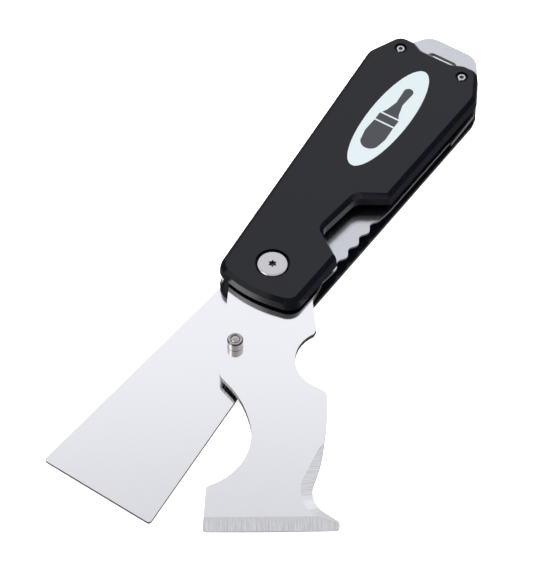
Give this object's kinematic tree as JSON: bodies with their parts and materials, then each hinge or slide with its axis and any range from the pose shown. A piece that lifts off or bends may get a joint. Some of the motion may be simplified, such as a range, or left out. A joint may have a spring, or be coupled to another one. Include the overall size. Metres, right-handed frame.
{
  "type": "folding painters multi tool",
  "caption": "Folding painter's multi tool: a putty knife and a hooked scraper swing out of a tapered black handle with an opener at its butt.",
  "frame": {"origin": "on the flat outer face of the rear handle scale, on the centre line, 60 mm from the pivot towards the butt", "axes": "+Y runs from the pivot to the butt of the handle, +Z points out of the front of the tool, +X points to the side that the scraper folds into"},
  "size_m": [0.114, 0.2705, 0.0204],
  "materials": {
    "handle_black": "smooth gloss black with soft edges",
    "blade_steel": "fine polished steel with ground bevels",
    "plate_steel": "fine brushed steel",
    "screw_steel": "turned stainless steel",
    "inner_steel": "plain turned steel",
    "washer_brass": "plain bronze washer",
    "washer_plastic": "thin white slip washer",
    "badge_white": "pale oval inlay"
  },
  "bodies": {
    "handle": {"front_scale": "handle_black", "rear_scale": "handle_black", "lock_plate": "plate_steel", "badge": "badge_white", "pivot_barrel": "inner_steel", "pivot_screw_front": "screw_steel", "pivot_screw_rear": "screw_steel", "washer_front": "washer_brass", "slip_washer_front": "washer_plastic", "slip_washer_rear": "washer_plastic", "washer_rear": "washer_brass", "stop_pin_front": "inner_steel", "stop_pin_rear": "inner_steel", "butt_post_left": "inner_steel", "butt_post_right": "inner_steel", "butt_screw_front_left": "screw_steel", "butt_screw_front_right": "screw_steel", "butt_screw_rear_left": "screw_steel", "butt_screw_rear_right": "screw_steel", "butt_spacer_front_left": "inner_steel", "butt_spacer_front_right": "inner_steel", "butt_spacer_rear_left": "inner_steel", "butt_spacer_rear_right": "inner_steel"},
    "scraper": {"scraper_blade": "blade_steel", "thumb_stud_front": "screw_steel", "stud_rivet_front": "inner_steel"},
    "putty_knife": {"putty_blade": "blade_steel", "thumb_stud_rear": "screw_steel", "stud_rivet_rear": "inner_steel"},
    "front_lock": {"lock_bar_front": "plate_steel", "detent_ball_front": "inner_steel"},
    "rear_lock": {"lock_bar_rear": "plate_steel", "detent_ball_rear": "inner_steel"}
  },
  "joints": [
    {"name": "scraper_swing", "type": "hinge", "parent": "handle", "child": "scraper", "pos_m": [0, -0.06, 0.01245], "axis": [0, 0, 1], "range_deg": [-33, 147]},
    {"name": "putty_swing", "type": "hinge", "parent": "handle", "child": "putty_knife", "pos_m": [0, -0.06, 0.0083], "axis": [0, 0, 1], "range_deg": [-177.8, 2.2]},
    {"name": "front_lock_press", "type": "hinge", "parent": "handle", "child": "front_lock", "pos_m": [0.02, 0.0399, 0.0106], "axis": [1, 0, 0], "range_deg": [0, 0.24], "stiffness_Nm_per_rad": 5, "springref_deg": -1.15},
    {"name": "rear_lock_press", "type": "hinge", "parent": "handle", "child": "rear_lock", "pos_m": [-0.02, 0.0399, 0.0096], "axis": [-1, 0, 0], "range_deg": [0, 0.24], "stiffness_Nm_per_rad": 5, "springref_deg": -1.15}
  ]
}
